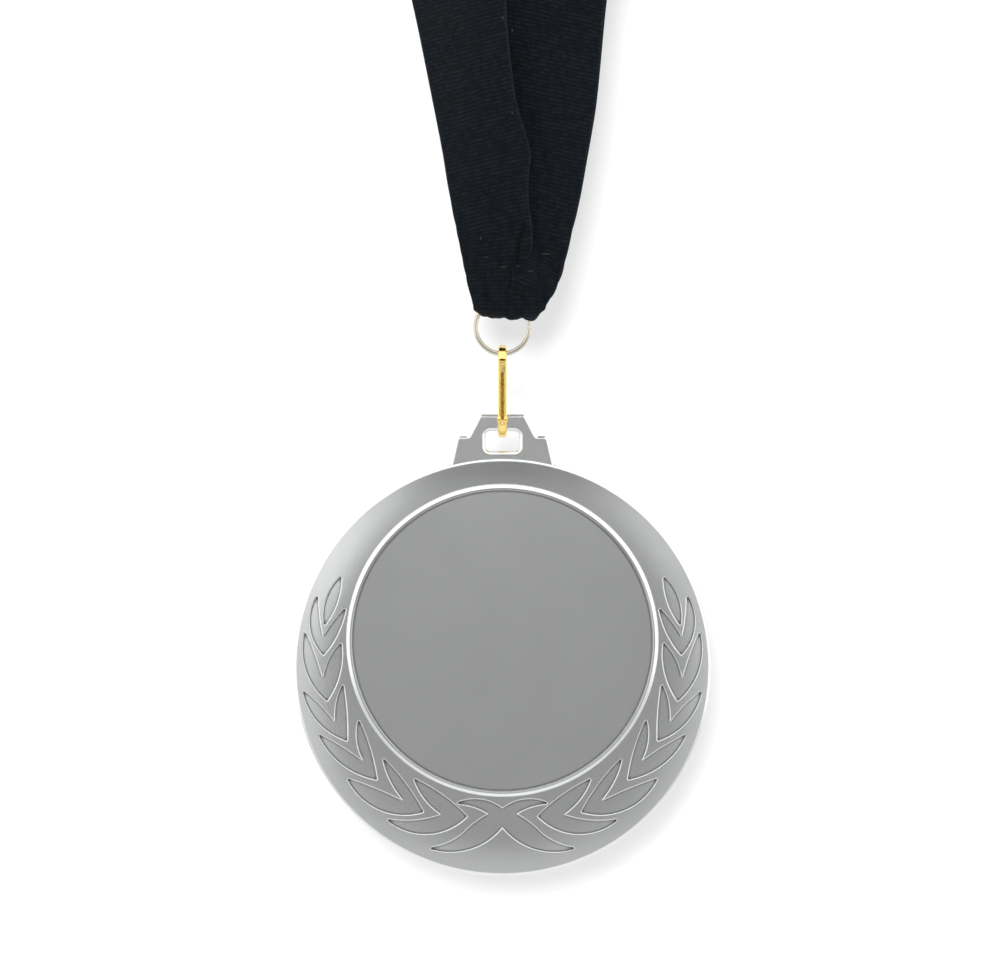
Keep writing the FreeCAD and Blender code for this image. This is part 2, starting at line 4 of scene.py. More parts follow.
import bpy
from bpy.props import FloatProperty, FloatVectorProperty, IntProperty, PointerProperty
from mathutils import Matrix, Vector

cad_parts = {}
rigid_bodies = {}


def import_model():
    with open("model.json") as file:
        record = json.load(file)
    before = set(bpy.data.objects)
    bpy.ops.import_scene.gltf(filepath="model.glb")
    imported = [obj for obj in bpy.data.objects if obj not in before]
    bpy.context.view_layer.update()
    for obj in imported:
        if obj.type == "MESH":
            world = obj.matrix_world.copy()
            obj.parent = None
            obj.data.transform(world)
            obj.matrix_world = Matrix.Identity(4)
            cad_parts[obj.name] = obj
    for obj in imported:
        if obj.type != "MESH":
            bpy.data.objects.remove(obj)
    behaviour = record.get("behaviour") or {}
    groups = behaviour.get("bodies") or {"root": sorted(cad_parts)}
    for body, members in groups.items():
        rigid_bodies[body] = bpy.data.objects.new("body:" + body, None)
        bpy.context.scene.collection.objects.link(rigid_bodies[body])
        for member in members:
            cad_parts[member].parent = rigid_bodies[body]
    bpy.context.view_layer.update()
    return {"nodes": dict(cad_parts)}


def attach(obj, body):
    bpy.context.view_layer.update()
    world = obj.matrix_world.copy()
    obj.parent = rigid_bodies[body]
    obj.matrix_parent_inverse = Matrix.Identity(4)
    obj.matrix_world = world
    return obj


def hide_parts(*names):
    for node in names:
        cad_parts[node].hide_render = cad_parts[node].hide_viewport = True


bl_info = {
    "name": "Prize medal on a neck ribbon",
    "version": (1, 0, 0),
    "blender": (4, 5, 0),
    "location": "3D View > Sidebar > Medal",
    "description": "Dresses the packed medal: satin nickel, a gilt clip and a woven neck ribbon",
    "category": "Object",
}

for left_over in list(bpy.data.objects):
    bpy.data.objects.remove(left_over)

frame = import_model()

MM = 0.001

# ---- Heights and sizes shared with the frame, in millimetres -----------------------------------
NECK_R = 56.25          # the cloth's middle, round the neck
LEAN = math.radians(10)
APEX_Z = -379.931       # where the straps' plain rules meet
FOLD_Z = -389.331       # the bottom of the fold round the ring
STRAP_RUN = NECK_R / math.tan(LEAN)
HALF_WIDTH = 11.0       # half the ribbon's width
HALF_THICK = 0.25       # half its thickness
RECESS_Z = -443.481     # the middle of the medal's round recess
SHADED_CROWN_R = (25.24, 25.72)    # the lip's crown, painted darker as shade, runs between these radii from the recess's middle


# ---- Colours and nodes ------------------------------------------------------------------------
def linear(code):
    """An sRGB hex value as a linear colour with alpha."""
    channels = [int(code[i:i + 2], 16) / 255 for i in (1, 3, 5)]
    return tuple(c / 12.92 if c <= 0.04045 else ((c + 0.055) / 1.055) ** 2.4 for c in channels) + (1.0,)


def shaded(colour, share):
    """A linear colour made darker or lighter by a share."""
    return tuple(c * share for c in colour[:3]) + (1.0,)


def add_node(tree, kind, settings=None, inputs=None):
    """Adds a node, sets its properties, and sets or links its inputs. A node that is given as an
    input stands for its first output."""
    made = tree.nodes.new(kind)
    for name, value in (settings or {}).items():
        setattr(made, name, value)
    for name, value in (inputs or {}).items():
        if isinstance(value, bpy.types.Node):
            value = value.outputs[0]
        if isinstance(value, bpy.types.NodeSocket):
            tree.links.new(value, made.inputs[name])
        else:
            made.inputs[name].default_value = value
    return made


def new_material(name):
    """An empty node material and its tree."""
    material = bpy.data.materials.new(name)
    material.use_nodes = True
    material.node_tree.nodes.clear()
    return material, material.node_tree


def close_material(tree, inputs):
    """The Principled shader and the output, at the end of a material's nodes."""
    shader = add_node(tree, "ShaderNodeBsdfPrincipled", None, inputs)
    add_node(tree, "ShaderNodeOutputMaterial", None, {"Surface": shader})


# Settings that many nodes share. A colour mix takes its colours at inputs 6 and 7, and gives the
# result at output 2.
SMOOTH = {"interpolation_type": "SMOOTHSTEP"}
COLOURS = {"data_type": "RGBA"}
TIMES = {"operation": "MULTIPLY"}
TIMES_PLUS = {"operation": "MULTIPLY_ADD"}
NOISE_ROUGHNESS = 0.55


def dress(node_name, material):
    """Gives a CAD piece its finish."""
    mesh = frame["nodes"][node_name].data
    mesh.materials.clear()
    mesh.materials.append(material)


# ---- Finishes -----------------------------------------------------------------------------------
def satin_nickel(colour):
    """Die-cast zinc, nickel plated and glass-bead blasted: an even grey that spreads a reflection
    over some fifteen degrees. The lip's crown round the recess and the corners are painted dark as
    shade; the lip's outer slope holds a bright line."""
    material, tree = new_material("satin_nickel_plate")
    place = add_node(tree, "ShaderNodeTexCoord").outputs["Object"]
    from_recess = add_node(tree, "ShaderNodeVectorMath", {"operation": "SUBTRACT"}, {
        0: place, 1: (0, 0, RECESS_Z * MM)})
    flat = add_node(tree, "ShaderNodeVectorMath", TIMES, {0: from_recess, 1: (1, 0, 1)})
    length = add_node(tree, "ShaderNodeVectorMath", {"operation": "LENGTH"}, {0: flat})
    radius = length.outputs["Value"]
    # The painted shade on the crown starts sharply at the recess's wall and fades out over 0.2 mm.
    inside = add_node(tree, "ShaderNodeMapRange", SMOOTH, {
        "Value": radius, "From Min": SHADED_CROWN_R[0] * MM, "From Max": (SHADED_CROWN_R[0] + 0.04) * MM})
    outside = add_node(tree, "ShaderNodeMapRange", SMOOTH, {
        "Value": radius, "From Min": (SHADED_CROWN_R[1] - 0.2) * MM, "From Max": SHADED_CROWN_R[1] * MM,
        "To Min": 1.0, "To Max": 0.0})
    crown = add_node(tree, "ShaderNodeMath", TIMES, {0: inside, 1: outside})
    # The blast's pits are 0.05 mm across. They are drawn at 0.16 mm, so that they show.
    pits = add_node(tree, "ShaderNodeTexNoise", None, {
        "Vector": place, "Scale": 1 / (0.16 * MM), "Detail": 3.0, "Roughness": NOISE_ROUGHNESS})
    rough = add_node(tree, "ShaderNodeMapRange", SMOOTH, {
        "Value": pits, "From Min": 0.3, "From Max": 0.7, "To Min": 0.19, "To Max": 0.23})
    # The plate's tone drifts a little, over about 9 mm.
    clouds = add_node(tree, "ShaderNodeTexNoise", None, {
        "Vector": place, "Scale": 1 / (9.0 * MM), "Detail": 2.0, "Roughness": NOISE_ROUGHNESS})
    tone = add_node(tree, "ShaderNodeMapRange", SMOOTH, {
        "Value": clouds, "From Min": 0.25, "From Max": 0.75})
    plate = add_node(tree, "ShaderNodeMix", COLOURS, {0: tone, 6: shaded(colour, 0.965), 7: colour})
    # Tumbling rounds every edge, which is where the casting catches the light.
    tumbled = add_node(tree, "ShaderNodeBevel", {"samples": 10}, {"Radius": 0.22 * MM})
    bump = add_node(tree, "ShaderNodeBump", None, {
        "Strength": 0.03, "Distance": 0.02 * MM, "Height": pits, "Normal": tumbled})
    # Painted shade: the corners, found by ambient occlusion, are painted dark, and the lip's crown
    # darker.
    corner = add_node(tree, "ShaderNodeAmbientOcclusion", {"samples": 8, "only_local": True}, {
        "Distance": 0.6 * MM})
    open_face = add_node(tree, "ShaderNodeMapRange", SMOOTH, {
        "Value": corner.outputs["AO"], "From Min": 0.55, "From Max": 0.9})
    unshaded_share = add_node(tree, "ShaderNodeMath", TIMES_PLUS, {0: crown, 1: -0.70, 2: open_face})
    painted_shade_plate = add_node(tree, "ShaderNodeMix", COLOURS, {
        0: unshaded_share, 6: shaded(colour, 0.25), 7: plate.outputs[2]})
    close_material(tree, {
        "Base Color": painted_shade_plate.outputs[2], "Metallic": 1.0, "Roughness": rough, "Normal": bump})
    return material


def plated(name, colour, rough_low, rough_high, wear_mm):
    """Bright electroplate over a drawn and tumbled part: mirror-like, with faint rubbing that
    dulls it in patches and lines of drawing too fine to feel."""
    material, tree = new_material(name)
    place = add_node(tree, "ShaderNodeTexCoord").outputs["Object"]
    rubbed = add_node(tree, "ShaderNodeTexNoise", None, {
        "Vector": place, "Scale": 1 / (wear_mm * MM), "Detail": 4.0, "Roughness": NOISE_ROUGHNESS})
    fine = add_node(tree, "ShaderNodeTexNoise", None, {
        "Vector": place, "Scale": 1 / (wear_mm / 8 * MM), "Detail": 2.0,
        "Roughness": NOISE_ROUGHNESS})
    rough = add_node(tree, "ShaderNodeMapRange", SMOOTH, {
        "Value": rubbed, "From Min": 0.3, "From Max": 0.7, "To Min": rough_low, "To Max": rough_high})
    worn = add_node(tree, "ShaderNodeMix", COLOURS, {0: rubbed, 6: shaded(colour, 0.9), 7: colour})
    drawn = add_node(tree, "ShaderNodeBevel", {"samples": 8}, {"Radius": 0.15 * MM})
    bump = add_node(tree, "ShaderNodeBump", None, {
        "Strength": 0.08, "Distance": 0.02 * MM, "Height": fine, "Normal": drawn})
    close_material(tree, {
        "Base Color": worn.outputs[2], "Metallic": 1.0, "Roughness": rough, "Normal": bump})
    return material


def grosgrain(colour, rib_mm):
    """Woven polyester grosgrain, dyed black: ribs across the width, a dull face with a faint sheen,
    beaded edges, and a little pale lint. The rib crests and the beaded edges are painted paler as
    highlight, and the hollows between the ribs darker as shade."""
    material, tree = new_material("black_grosgrain")
    weave = add_node(tree, "ShaderNodeUVMap", {"uv_map": "weave"})
    split = add_node(tree, "ShaderNodeSeparateXYZ", None, {"Vector": weave})
    across, along = split.outputs["X"], split.outputs["Y"]
    place = add_node(tree, "ShaderNodeTexCoord").outputs["Object"]
    # Each rib wanders by about a third of its pitch along its run, and is broken every 1.1 mm.
    wander = add_node(tree, "ShaderNodeTexNoise", None, {
        "Vector": place, "Scale": 1 / (4.0 * MM), "Detail": 2.0, "Roughness": NOISE_ROUGHNESS})
    shifted = add_node(tree, "ShaderNodeMath", TIMES_PLUS, {0: wander, 1: rib_mm * MM * 0.9, 2: along})
    rib_turn = add_node(tree, "ShaderNodeMath", TIMES, {0: shifted, 1: 2 * math.pi / (rib_mm * MM)})
    rib_wave = add_node(tree, "ShaderNodeMath", {"operation": "SINE"}, {0: rib_turn})
    even_rib = add_node(tree, "ShaderNodeMath", TIMES_PLUS, {0: rib_wave, 1: 0.5, 2: 0.5})
    breaks = add_node(tree, "ShaderNodeTexNoise", None, {
        "Vector": place, "Scale": 1 / (1.1 * MM), "Detail": 4.0, "Roughness": NOISE_ROUGHNESS})
    broken = add_node(tree, "ShaderNodeMapRange", SMOOTH, {
        "Value": breaks, "From Min": 0.35, "From Max": 0.65, "To Min": 0.1, "To Max": 1.0})
    rib = add_node(tree, "ShaderNodeMath", TIMES, {0: even_rib, 1: broken})
    # Warp ends are 0.25 mm apart. They are drawn 0.42 mm apart, so that they show.
    warp_turn = add_node(tree, "ShaderNodeMath", TIMES, {0: across, 1: 2 * math.pi / (0.42 * MM)})
    warp_wave = add_node(tree, "ShaderNodeMath", {"operation": "SINE"}, {0: warp_turn})
    warp = add_node(tree, "ShaderNodeMath", TIMES_PLUS, {0: warp_wave, 1: 0.5, 2: 0.5})
    # The beaded edge is 0.25 mm wide and dies away by 0.8 mm.
    from_middle = add_node(tree, "ShaderNodeMath", {"operation": "ABSOLUTE"}, {0: across})
    off_edge = add_node(tree, "ShaderNodeMath", {"operation": "SUBTRACT"}, {
        0: HALF_WIDTH * MM, 1: from_middle})
    selvedge = add_node(tree, "ShaderNodeMapRange", SMOOTH, {
        "Value": off_edge, "From Min": 0.25 * MM, "From Max": 0.8 * MM, "To Min": 1.0, "To Max": 0.0})
    fibres = add_node(tree, "ShaderNodeTexNoise", None, {
        "Vector": place, "Scale": 1 / (0.35 * MM), "Detail": 3.0, "Roughness": NOISE_ROUGHNESS})
    low_warp = add_node(tree, "ShaderNodeMath", TIMES, {0: warp, 1: 0.5})
    woven = add_node(tree, "ShaderNodeMath", TIMES_PLUS, {0: rib, 1: 0.8, 2: low_warp})
    hairy = add_node(tree, "ShaderNodeMath", TIMES_PLUS, {0: fibres, 1: 0.9, 2: woven})
    height = add_node(tree, "ShaderNodeMath", TIMES_PLUS, {0: selvedge, 1: 0.8, 2: hairy})
    bump = add_node(tree, "ShaderNodeBump", None, {
        "Strength": 0.75, "Distance": 0.12 * MM, "Height": height})
    # Painted light: the rib crests and the beaded edges are painted paler as highlight, and the hollows
    # between them darker as shade.
    half_warp = add_node(tree, "ShaderNodeMath", TIMES_PLUS, {0: warp, 1: 0.5, 2: 0.5})
    beads = add_node(tree, "ShaderNodeMath", TIMES, {0: rib, 1: half_warp})
    painted_highlight_share = add_node(tree, "ShaderNodeMath", TIMES_PLUS, {0: selvedge, 1: 0.5, 2: beads})
    shade = add_node(tree, "ShaderNodeMix", COLOURS, {
        0: painted_highlight_share, 6: shaded(colour, 0.5), 7: shaded(colour, 1.75)})
    # Lint: single fibres a few tenths of a millimetre long, far apart and in patches.
    stretched = add_node(tree, "ShaderNodeMapping", None, {"Vector": place, "Scale": (1.0, 1.0, 0.45)})
    specks = add_node(tree, "ShaderNodeTexVoronoi", {"feature": "F1"}, {
        "Vector": stretched, "Scale": 1 / (2.0 * MM), "Randomness": 1.0})
    fibre = add_node(tree, "ShaderNodeMapRange", SMOOTH, {
        "Value": specks, "From Min": 0.03, "From Max": 0.08, "To Min": 1.0, "To Max": 0.0})
    cover = add_node(tree, "ShaderNodeTexNoise", None, {
        "Vector": place, "Scale": 1 / (5.0 * MM), "Detail": 2.0, "Roughness": NOISE_ROUGHNESS})
    patch = add_node(tree, "ShaderNodeMapRange", SMOOTH, {
        "Value": cover, "From Min": 0.42, "From Max": 0.6, "To Min": 0.0, "To Max": 0.45})
    lint = add_node(tree, "ShaderNodeMath", TIMES, {0: fibre, 1: patch})
    linty = add_node(tree, "ShaderNodeMix", COLOURS, {0: lint, 6: shade.outputs[2], 7: linear("#5a6266")})
    close_material(tree, {
        "Base Color": linty.outputs[2], "Roughness": 0.78, "Specular IOR Level": 0.08,
        "Sheen Weight": 0.02, "Sheen Roughness": 0.45, "Normal": bump})
    return material


def spun_thread(colour):
    """Two-ply polyester sewing thread: a slight gloss and a visible twist, whose grooves are painted
    darker as shade.
    """
    material, tree = new_material("black_sewing_thread")
    place = add_node(tree, "ShaderNodeTexCoord").outputs["Object"]
    # The bands come out about 0.36 mm apart, which is the twist of a thread this thick.
    twist = add_node(tree, "ShaderNodeTexWave", {"wave_type": "BANDS", "bands_direction": "DIAGONAL"}, {
        "Vector": place, "Scale": 1 / MM, "Distortion": 0.6, "Detail": 1.0}).outputs["Fac"]
    bump = add_node(tree, "ShaderNodeBump", None, {
        "Strength": 0.8, "Distance": 0.06 * MM, "Height": twist})
    # Painted shade: the grooves of the twist are painted darker than the thread's colour.
    twist_shade = add_node(tree, "ShaderNodeMix", COLOURS, {0: twist, 6: shaded(colour, 0.6), 7: colour})
    close_material(tree, {"Base Color": twist_shade.outputs[2], "Roughness": 0.55, "Normal": bump})
    return material


# ---- The ribbon's shape -------------------------------------------------------------------------
def ease(share):
    """A smooth step from 0 to 1."""
    share = min(1.0, max(0.0, share))
    return share * share * (3 - 2 * share)


def along_curve(stops, at):
    """A value on a smooth curve through (height, value) stops."""
    if at <= stops[0][0]:
        return stops[0][1]
    if at >= stops[-1][0]:
        return stops[-1][1]
    i = 0
    while stops[i + 1][0] < at:
        i += 1
    (h1, v1), (h2, v2) = stops[i], stops[i + 1]
    h0, v0 = stops[i - 1] if i > 0 else (h1 - (h2 - h1), v1)
    h3, v3 = stops[i + 2] if i + 2 < len(stops) else (h2 + (h2 - h1), v2)
    m1 = (v2 - v0) / (h2 - h0)
    m2 = (v3 - v1) / (h3 - h1)
    run = h2 - h1
    t = (at - h1) / run
    return ((2 * t ** 3 - 3 * t ** 2 + 1) * v1 + (t ** 3 - 2 * t ** 2 + t) * run * m1
            + (3 * t ** 2 - 2 * t ** 3) * v2 + (t ** 3 - t ** 2) * run * m2)


# Each strap's edges over the fold's height, in millimetres: where the outer and the inner edge are
# sideways, how far each stands back, and how far the middle bellies to the front.
STRAPS = {
    -1: {
        "outer_x": [
            (0, -4.0), (2, -4.75), (5, -5.6), (8, -6.3), (11.4, -7.0), (19.8, -8.65), (28.2, -10.0),
            (36, -11.5), (49, -14.1), (56, -15.6), (66, -17.4)],
        "inner_x": [
            (0, 1.9), (2.2, 2.0), (5, 2.2), (8, 3.0), (11.4, 4.8), (15, 4.9), (19.8, 4.35), (24, 4.4),
            (27.2, 4.75), (30.4, 4.05), (36, 2.4), (42, 1.5), (49, 0.76), (56, 0.45), (66, -0.6)],
        "outer_y": [
            (0, -1.95), (4.8, -1.9), (8, -1.3), (11.4, -0.7), (15, -0.5), (19.8, 0.0), (27, 0.9),
            (36, 2.1), (49, 4.0), (56, 4.9), (66, 5.6)],
        "inner_y": [
            (0, -1.0), (4.8, -0.95), (8, -0.8), (11.4, -1.1), (15, -1.5), (19.8, -2.1), (27, -3.4),
            (36, -4.6), (49, -6.2), (56, -6.9), (66, -7.3)],
        "belly": [(0, 0.7), (5, 0.8), (11.4, 0.6), (19.8, 1.2), (30, 1.5), (49, 1.1), (66, 0.5)],
    },
    1: {
        "outer_x": [
            (0, 5.6), (1.7, 7.0), (4.4, 8.7), (8, 10.1), (13.1, 11.33), (19.8, 13.0), (28.2, 14.5),
            (36.6, 15.86), (53.4, 17.54), (66, 19.4)],
        "inner_x": [
            (0, 1.35), (2.2, 1.4), (5, 1.5), (8, 1.7), (11.4, 0.2), (19.8, -2.0), (36, -3.2),
            (53.4, -3.0), (66, -1.2)],
        "outer_y": [
            (0, -1.95), (4.8, -1.8), (8, -1.0), (11.4, -0.1), (15, 0.1), (27, 0.5), (53.4, 1.6),
            (66, 1.6)],
        "inner_y": [
            (0, -1.1), (4.8, -1.05), (8, -0.8), (11.4, 0.1), (15, 0.4), (27, 0.9), (53.4, 0.6),
            (66, 0.2)],
        "belly": [(0, 0.75), (5, 0.9), (8, 0.6), (11.4, 0.2), (27, 0.6), (53.4, 0.7), (66, 0.4)],
    },
}
SHAPED_UP_TO = 58.0     # above this height over the fold a strap follows the frame's plain rule
FOLD_R = 1.95           # the fold's depth below the height where the straps go into it
FOLD_TOP = FOLD_R + HALF_THICK
TAIL_UP = 13.4          # how far the sewn ends are turned up
DIMPLES = [(-2.4, 10.2), (0.1, 8.5), (2.7, 8.7), (4.7, 7.8), (7.2, 10.7)]   # the tack stitches
DIMPLE_DEPTH, DIMPLE_WIDE, DIMPLE_HIGH = 0.5, 1.1, 0.8
CREASE_LINE = [(0, 1.7), (4, 1.7), (9, 2.1), (15, 3.4), (20, 4.2)]      # (height, sideways)
CREASE_DEPTH, CREASE_WIDE = 1.1, 0.55
HANGING = [(0.6, 4.6, 0.9), (0.35, 1.5, 1.0)]   # the fold's two lowest lobes: depth, place, width
# Small waves in the cloth: size, turns across and up in radians a millimetre, and start.
GATHERS = [(0.22, 2.1, 0.22, 0.0), (0.12, 3.7, -0.35, 1.0)]
WAVES = [(0.16, 0.3, 0.21, 0.8), (0.10, -0.25, 0.43, 0.0)]
RIPPLES = [(0.10, 1.9, 0.0, 0.5), (0.05, 4.3, 0.0, 0.0)]
# Rows of faces in the turned-up end, the fold, the shaped part, the plain part and the neck.
TAIL_ROWS, FOLD_ROWS, SHAPED_ROWS, PLAIN_ROWS, NECK_ROWS = 12, 12, 74, 72, 60
NECK_START, NECK_TURN = 190, 200    # degrees; the neck's arc starts at the left strap


def waved(waves, x, height):
    """The sum of some small waves at one place."""
    return sum(size * math.sin(across * x + up * height + start) for size, across, up, start in waves)


def sag(x, height):
    """Soft, irregular hollows and folds, strongest where the cloth is gathered."""
    gathered = 1 - ease((height - 4) / 30)
    off_fold = ease(height / 3)
    return gathered * waved(GATHERS, x, height) * off_fold + waved(WAVES, x, height) * ease(height / 25)


def dimple(x, height):
    """How far the tack stitches draw the cloth in."""
    depth = 0.0
    for stitch_x, stitch_up in DIMPLES:
        away = ((x - stitch_x) / DIMPLE_WIDE) ** 2 + ((height - stitch_up) / DIMPLE_HIGH) ** 2
        depth += DIMPLE_DEPTH * math.exp(-away)
    return depth


def crease(x, height):
    """The deep pleat that runs down the front strap to the fold."""
    pleat = CREASE_DEPTH * math.exp(-((x - along_curve(CREASE_LINE, height)) / CREASE_WIDE) ** 2)
    return pleat * (1 - ease((height - 13) / 8)) * ease(height / 3)


def shaped_row(side, height, shares):
    """A row across a strap near the fold. Shares run from -1 at the outer edge to 1 at the inner."""
    edges = STRAPS[side]
    half = abs(along_curve(edges["inner_x"], height) - along_curve(edges["outer_x"], height)) / 2
    # The rows slope up to the inner edge, and the back strap's slope doubles where it is drawn in.
    slope, level = 13.0, ease((height - 4) / 14)
    if side > 0:
        slope, level = 12.0 + 12.0 * ease((16 - height) / 8), ease((height - 2) / 4)
    rise = half * math.tan(math.radians(slope)) * level
    low, high = height - rise, height + rise
    outer = Vector((along_curve(edges["outer_x"], low), along_curve(edges["outer_y"], low), low))
    inner = Vector((along_curve(edges["inner_x"], high), along_curve(edges["inner_y"], high), high))
    belly = along_curve(edges["belly"], height)
    row = []
    for share in shares:
        point = outer.lerp(inner, (share + 1) / 2)
        point.y -= belly * (1 - share ** 2) * (1 + 0.25 * share)
        point.y += sag(point.x, point.z) + dimple(point.x, point.z)
        if side < 0:
            point.y += crease(point.x, point.z)
        row.append(Vector((point.x, point.y, FOLD_Z + point.z)))
    return row


def plain_start():
    """How far up its plain rule a strap leaves the shaped part."""
    return (SHAPED_UP_TO - (APEX_Z - FOLD_Z)) / math.cos(LEAN)


def on_rule(side, distance):
    """A place on a strap's plain rule, by its distance from where the straps meet."""
    return Vector((side * distance * math.sin(LEAN), 0, APEX_Z + distance * math.cos(LEAN)))


def plain_row(side, distance, shares):
    """A row across a strap above the shaped part. It turns from the shaped part's facing to face
    the neck, and loses the shaped part's offset and bow on the way up."""
    start = plain_start()
    rise = (distance - start) / (STRAP_RUN - start)
    first = shaped_row(side, SHAPED_UP_TO, (-1, 0, 1))
    first_span = (first[2] - first[0]) / 2
    inward = -side
    first_turn = math.atan2(-first_span.y, abs(first_span.x))
    turn = first_turn + (math.radians(90) - first_turn) * (1 - (1 - rise) ** 3)
    half = first_span.length + (HALF_WIDTH - first_span.length) * ease(rise * 3)
    off_rule = (first[0] + first[2]) / 2 - on_rule(side, start)
    centre = on_rule(side, distance) + off_rule * (1 - ease(rise * 2))
    flat = Vector((inward * math.cos(LEAN), 0, math.sin(LEAN)))
    width_dir = flat * math.cos(turn) + Vector((0, -1, 0)) * math.sin(turn)
    bow = Vector((0, first[1].y - (first[0].y + first[2].y) / 2, 0)) * (1 - ease(rise * 2.5))
    wave = 0.35 * math.sin(distance * 0.045 + side) * ease(rise * 6) * ease((1 - rise) * 4)
    facing = Vector((0, 1, 0)) * math.cos(turn) + Vector((inward, 0, 0)) * math.sin(turn)
    return [centre + width_dir * (half * s) + (bow + facing * wave) * (1 - s ** 2) for s in shares]


def neck_row(angle, shares):
    """A row round the neck; angle 0 is the right side and 90 the top."""
    turn = math.radians(angle)
    outward = Vector((math.cos(turn), 0, math.sin(turn)))
    centre = Vector((0, 0, -NECK_R + HALF_THICK)) + outward * NECK_R
    return [centre + Vector((0, -HALF_WIDTH * s, 0)) for s in shares]


def fold_row(side, turn, shares):
    """A row of the fold round the ring's wire; turn is 0 at the front and 180 at the back."""
    around = math.radians(turn)
    tucked = math.sin(around) ** 2
    corner_lift = 1.5 if side > 0 else 1.3
    row = []
    for share, point in zip(shares, shaped_row(side, FOLD_TOP, shares)):
        out = max(0.0, -share)
        narrow = point.x * (1 - 0.13 * tucked * out ** 2)
        hang = -sum(deep * math.exp(-((narrow - at) / wide) ** 2) for deep, at, wide in HANGING)
        lift = corner_lift * out ** 3
        y = point.y * math.cos(around)
        z = point.z - FOLD_R * math.sin(around) + (hang + lift + waved(RIPPLES, point.x, 0)) * tucked
        row.append(Vector((narrow, y, z)))
    return row


def tail_row(side, height, shares):
    """A row of the end that is turned up behind and sewn."""
    edges = STRAPS[side]
    above = ease((height - FOLD_TOP) / 4)
    outer = along_curve(edges["outer_x"], height) * (1 - 0.08 * above)
    inner = along_curve(edges["inner_x"], FOLD_TOP)
    back = along_curve([(FOLD_TOP, 0), (4.8, 0.1), (8, -0.55), (11, -0.85), (TAIL_UP, -0.8)], height)
    row = []
    for share, point in zip(shares, shaped_row(side, FOLD_TOP, shares)):
        x = outer + (inner - outer) * (share + 1) / 2
        y = back - point.y + 0.12 * math.sin(2.3 * x) * above
        row.append(Vector((x, y, FOLD_Z + height)))
    return row


def ribbon_rows(shares):
    """Every row of the ribbon from its left end, up and over the neck, to its right end."""
    start = plain_start()
    tail = [TAIL_UP + (FOLD_TOP - TAIL_UP) * i / TAIL_ROWS for i in range(TAIL_ROWS)]
    fold = [180 - 180 * i / FOLD_ROWS for i in range(FOLD_ROWS)]
    shaped = [FOLD_TOP + (SHAPED_UP_TO - FOLD_TOP) * i / SHAPED_ROWS for i in range(SHAPED_ROWS)]
    plain = [start + (STRAP_RUN - start) * i / PLAIN_ROWS for i in range(PLAIN_ROWS + 1)]
    halves = []
    for side in (-1, 1):
        rows = [tail_row(side, height, shares) for height in tail]
        rows += [fold_row(side, turn, shares) for turn in fold]
        rows += [shaped_row(side, height, shares) for height in shaped]
        rows += [plain_row(side, distance, shares) for distance in plain]
        halves.append(rows)
    neck = [neck_row(NECK_START - NECK_TURN * i / NECK_ROWS, shares) for i in range(1, NECK_ROWS)]
    return halves[0] + neck + list(reversed(halves[1]))


STITCH_BACK = 1.25      # where a stitch's back lies, fore and aft
STITCH_PROUD = 0.14     # how far its front stands out of the cloth
FRONT_STRAP = ((2.1, 0.0), (5.0, 10.9))     # it covers what is left of an edge and above a height


def cloth_front(x, up):
    """Where the front of a stitch lies, fore and aft, at a place in the gathered part."""
    covered = any(x < edge and up > above for edge, above in FRONT_STRAP)
    row = shaped_row(-1 if covered else 1, up, [-1 + i / 20 for i in range(41)])
    nearest = min(row, key=lambda point: abs(point.x - x))
    return nearest.y - STITCH_PROUD


def woven_sheet(name, columns, thickness):
    """The ribbon as one band of cloth with a UV map in metres across and along the weave."""
    shares = [-1 + 2 * i / columns for i in range(columns + 1)]
    rows = ribbon_rows(shares)
    vertices = [point * MM for row in rows for point in row]
    wide = columns + 1
    faces = []
    for r in range(len(rows) - 1):
        for c in range(columns):
            a = r * wide + c
            faces.append((a, a + wide, a + wide + 1, a + 1))
    mesh = bpy.data.meshes.new(name)
    mesh.from_pydata(vertices, [], faces)
    middle = columns // 2
    run, travelled = [0.0], 0.0
    for low, high in zip(rows, rows[1:]):
        travelled += (high[middle] - low[middle]).length
        run.append(travelled)
    weave = mesh.uv_layers.new(name="weave")
    for loop in mesh.loops:
        r, c = divmod(loop.vertex_index, wide)
        weave.data[loop.index].uv = (shares[c] * HALF_WIDTH * MM, run[r] * MM)
    band = bpy.data.objects.new(name, mesh)
    bpy.context.scene.collection.objects.link(band)
    pick(band)
    thick = band.modifiers.new("thickness", "SOLIDIFY")
    thick.thickness = thickness
    thick.offset = 0.0
    bpy.ops.object.modifier_apply(modifier=thick.name)
    soft = band.modifiers.new("worn_edges", "BEVEL")
    soft.width = thickness * 0.3
    soft.segments = 2
    soft.limit_method = "ANGLE"
    soft.angle_limit = math.radians(60)
    bpy.ops.object.modifier_apply(modifier=soft.name)
    bpy.ops.object.shade_smooth_by_angle(angle=math.radians(50))
    return band


def pick(piece):
    """Selects one object alone and makes it active."""
    bpy.ops.object.select_all(action="DESELECT")
    piece.select_set(True)
    bpy.context.view_layer.objects.active = piece


# ---- Settings -------------------------------------------------------------------------------------
class MedalFinish(bpy.types.PropertyGroup):
    """Colours of the metal parts."""
    nickel: FloatVectorProperty(
        name="Nickel", description="Colour of the satin nickel plate", subtype="COLOR", size=4,
        min=0.0, max=1.0, default=linear("#e4e6e5"))
    gilt: FloatVectorProperty(
        name="Gilt", description="Colour of the clip's gold plate", subtype="COLOR", size=4,
        min=0.0, max=1.0, default=linear("#ffdf8c"))
    spring: FloatVectorProperty(
        name="Spring", description="Colour of the spring brass", subtype="COLOR", size=4,
        min=0.0, max=1.0, default=linear("#c99a45"))
    ring: FloatVectorProperty(
        name="Ring", description="Colour of the bright nickel ring", subtype="COLOR", size=4,
        min=0.0, max=1.0, default=linear("#cdc7b6"))


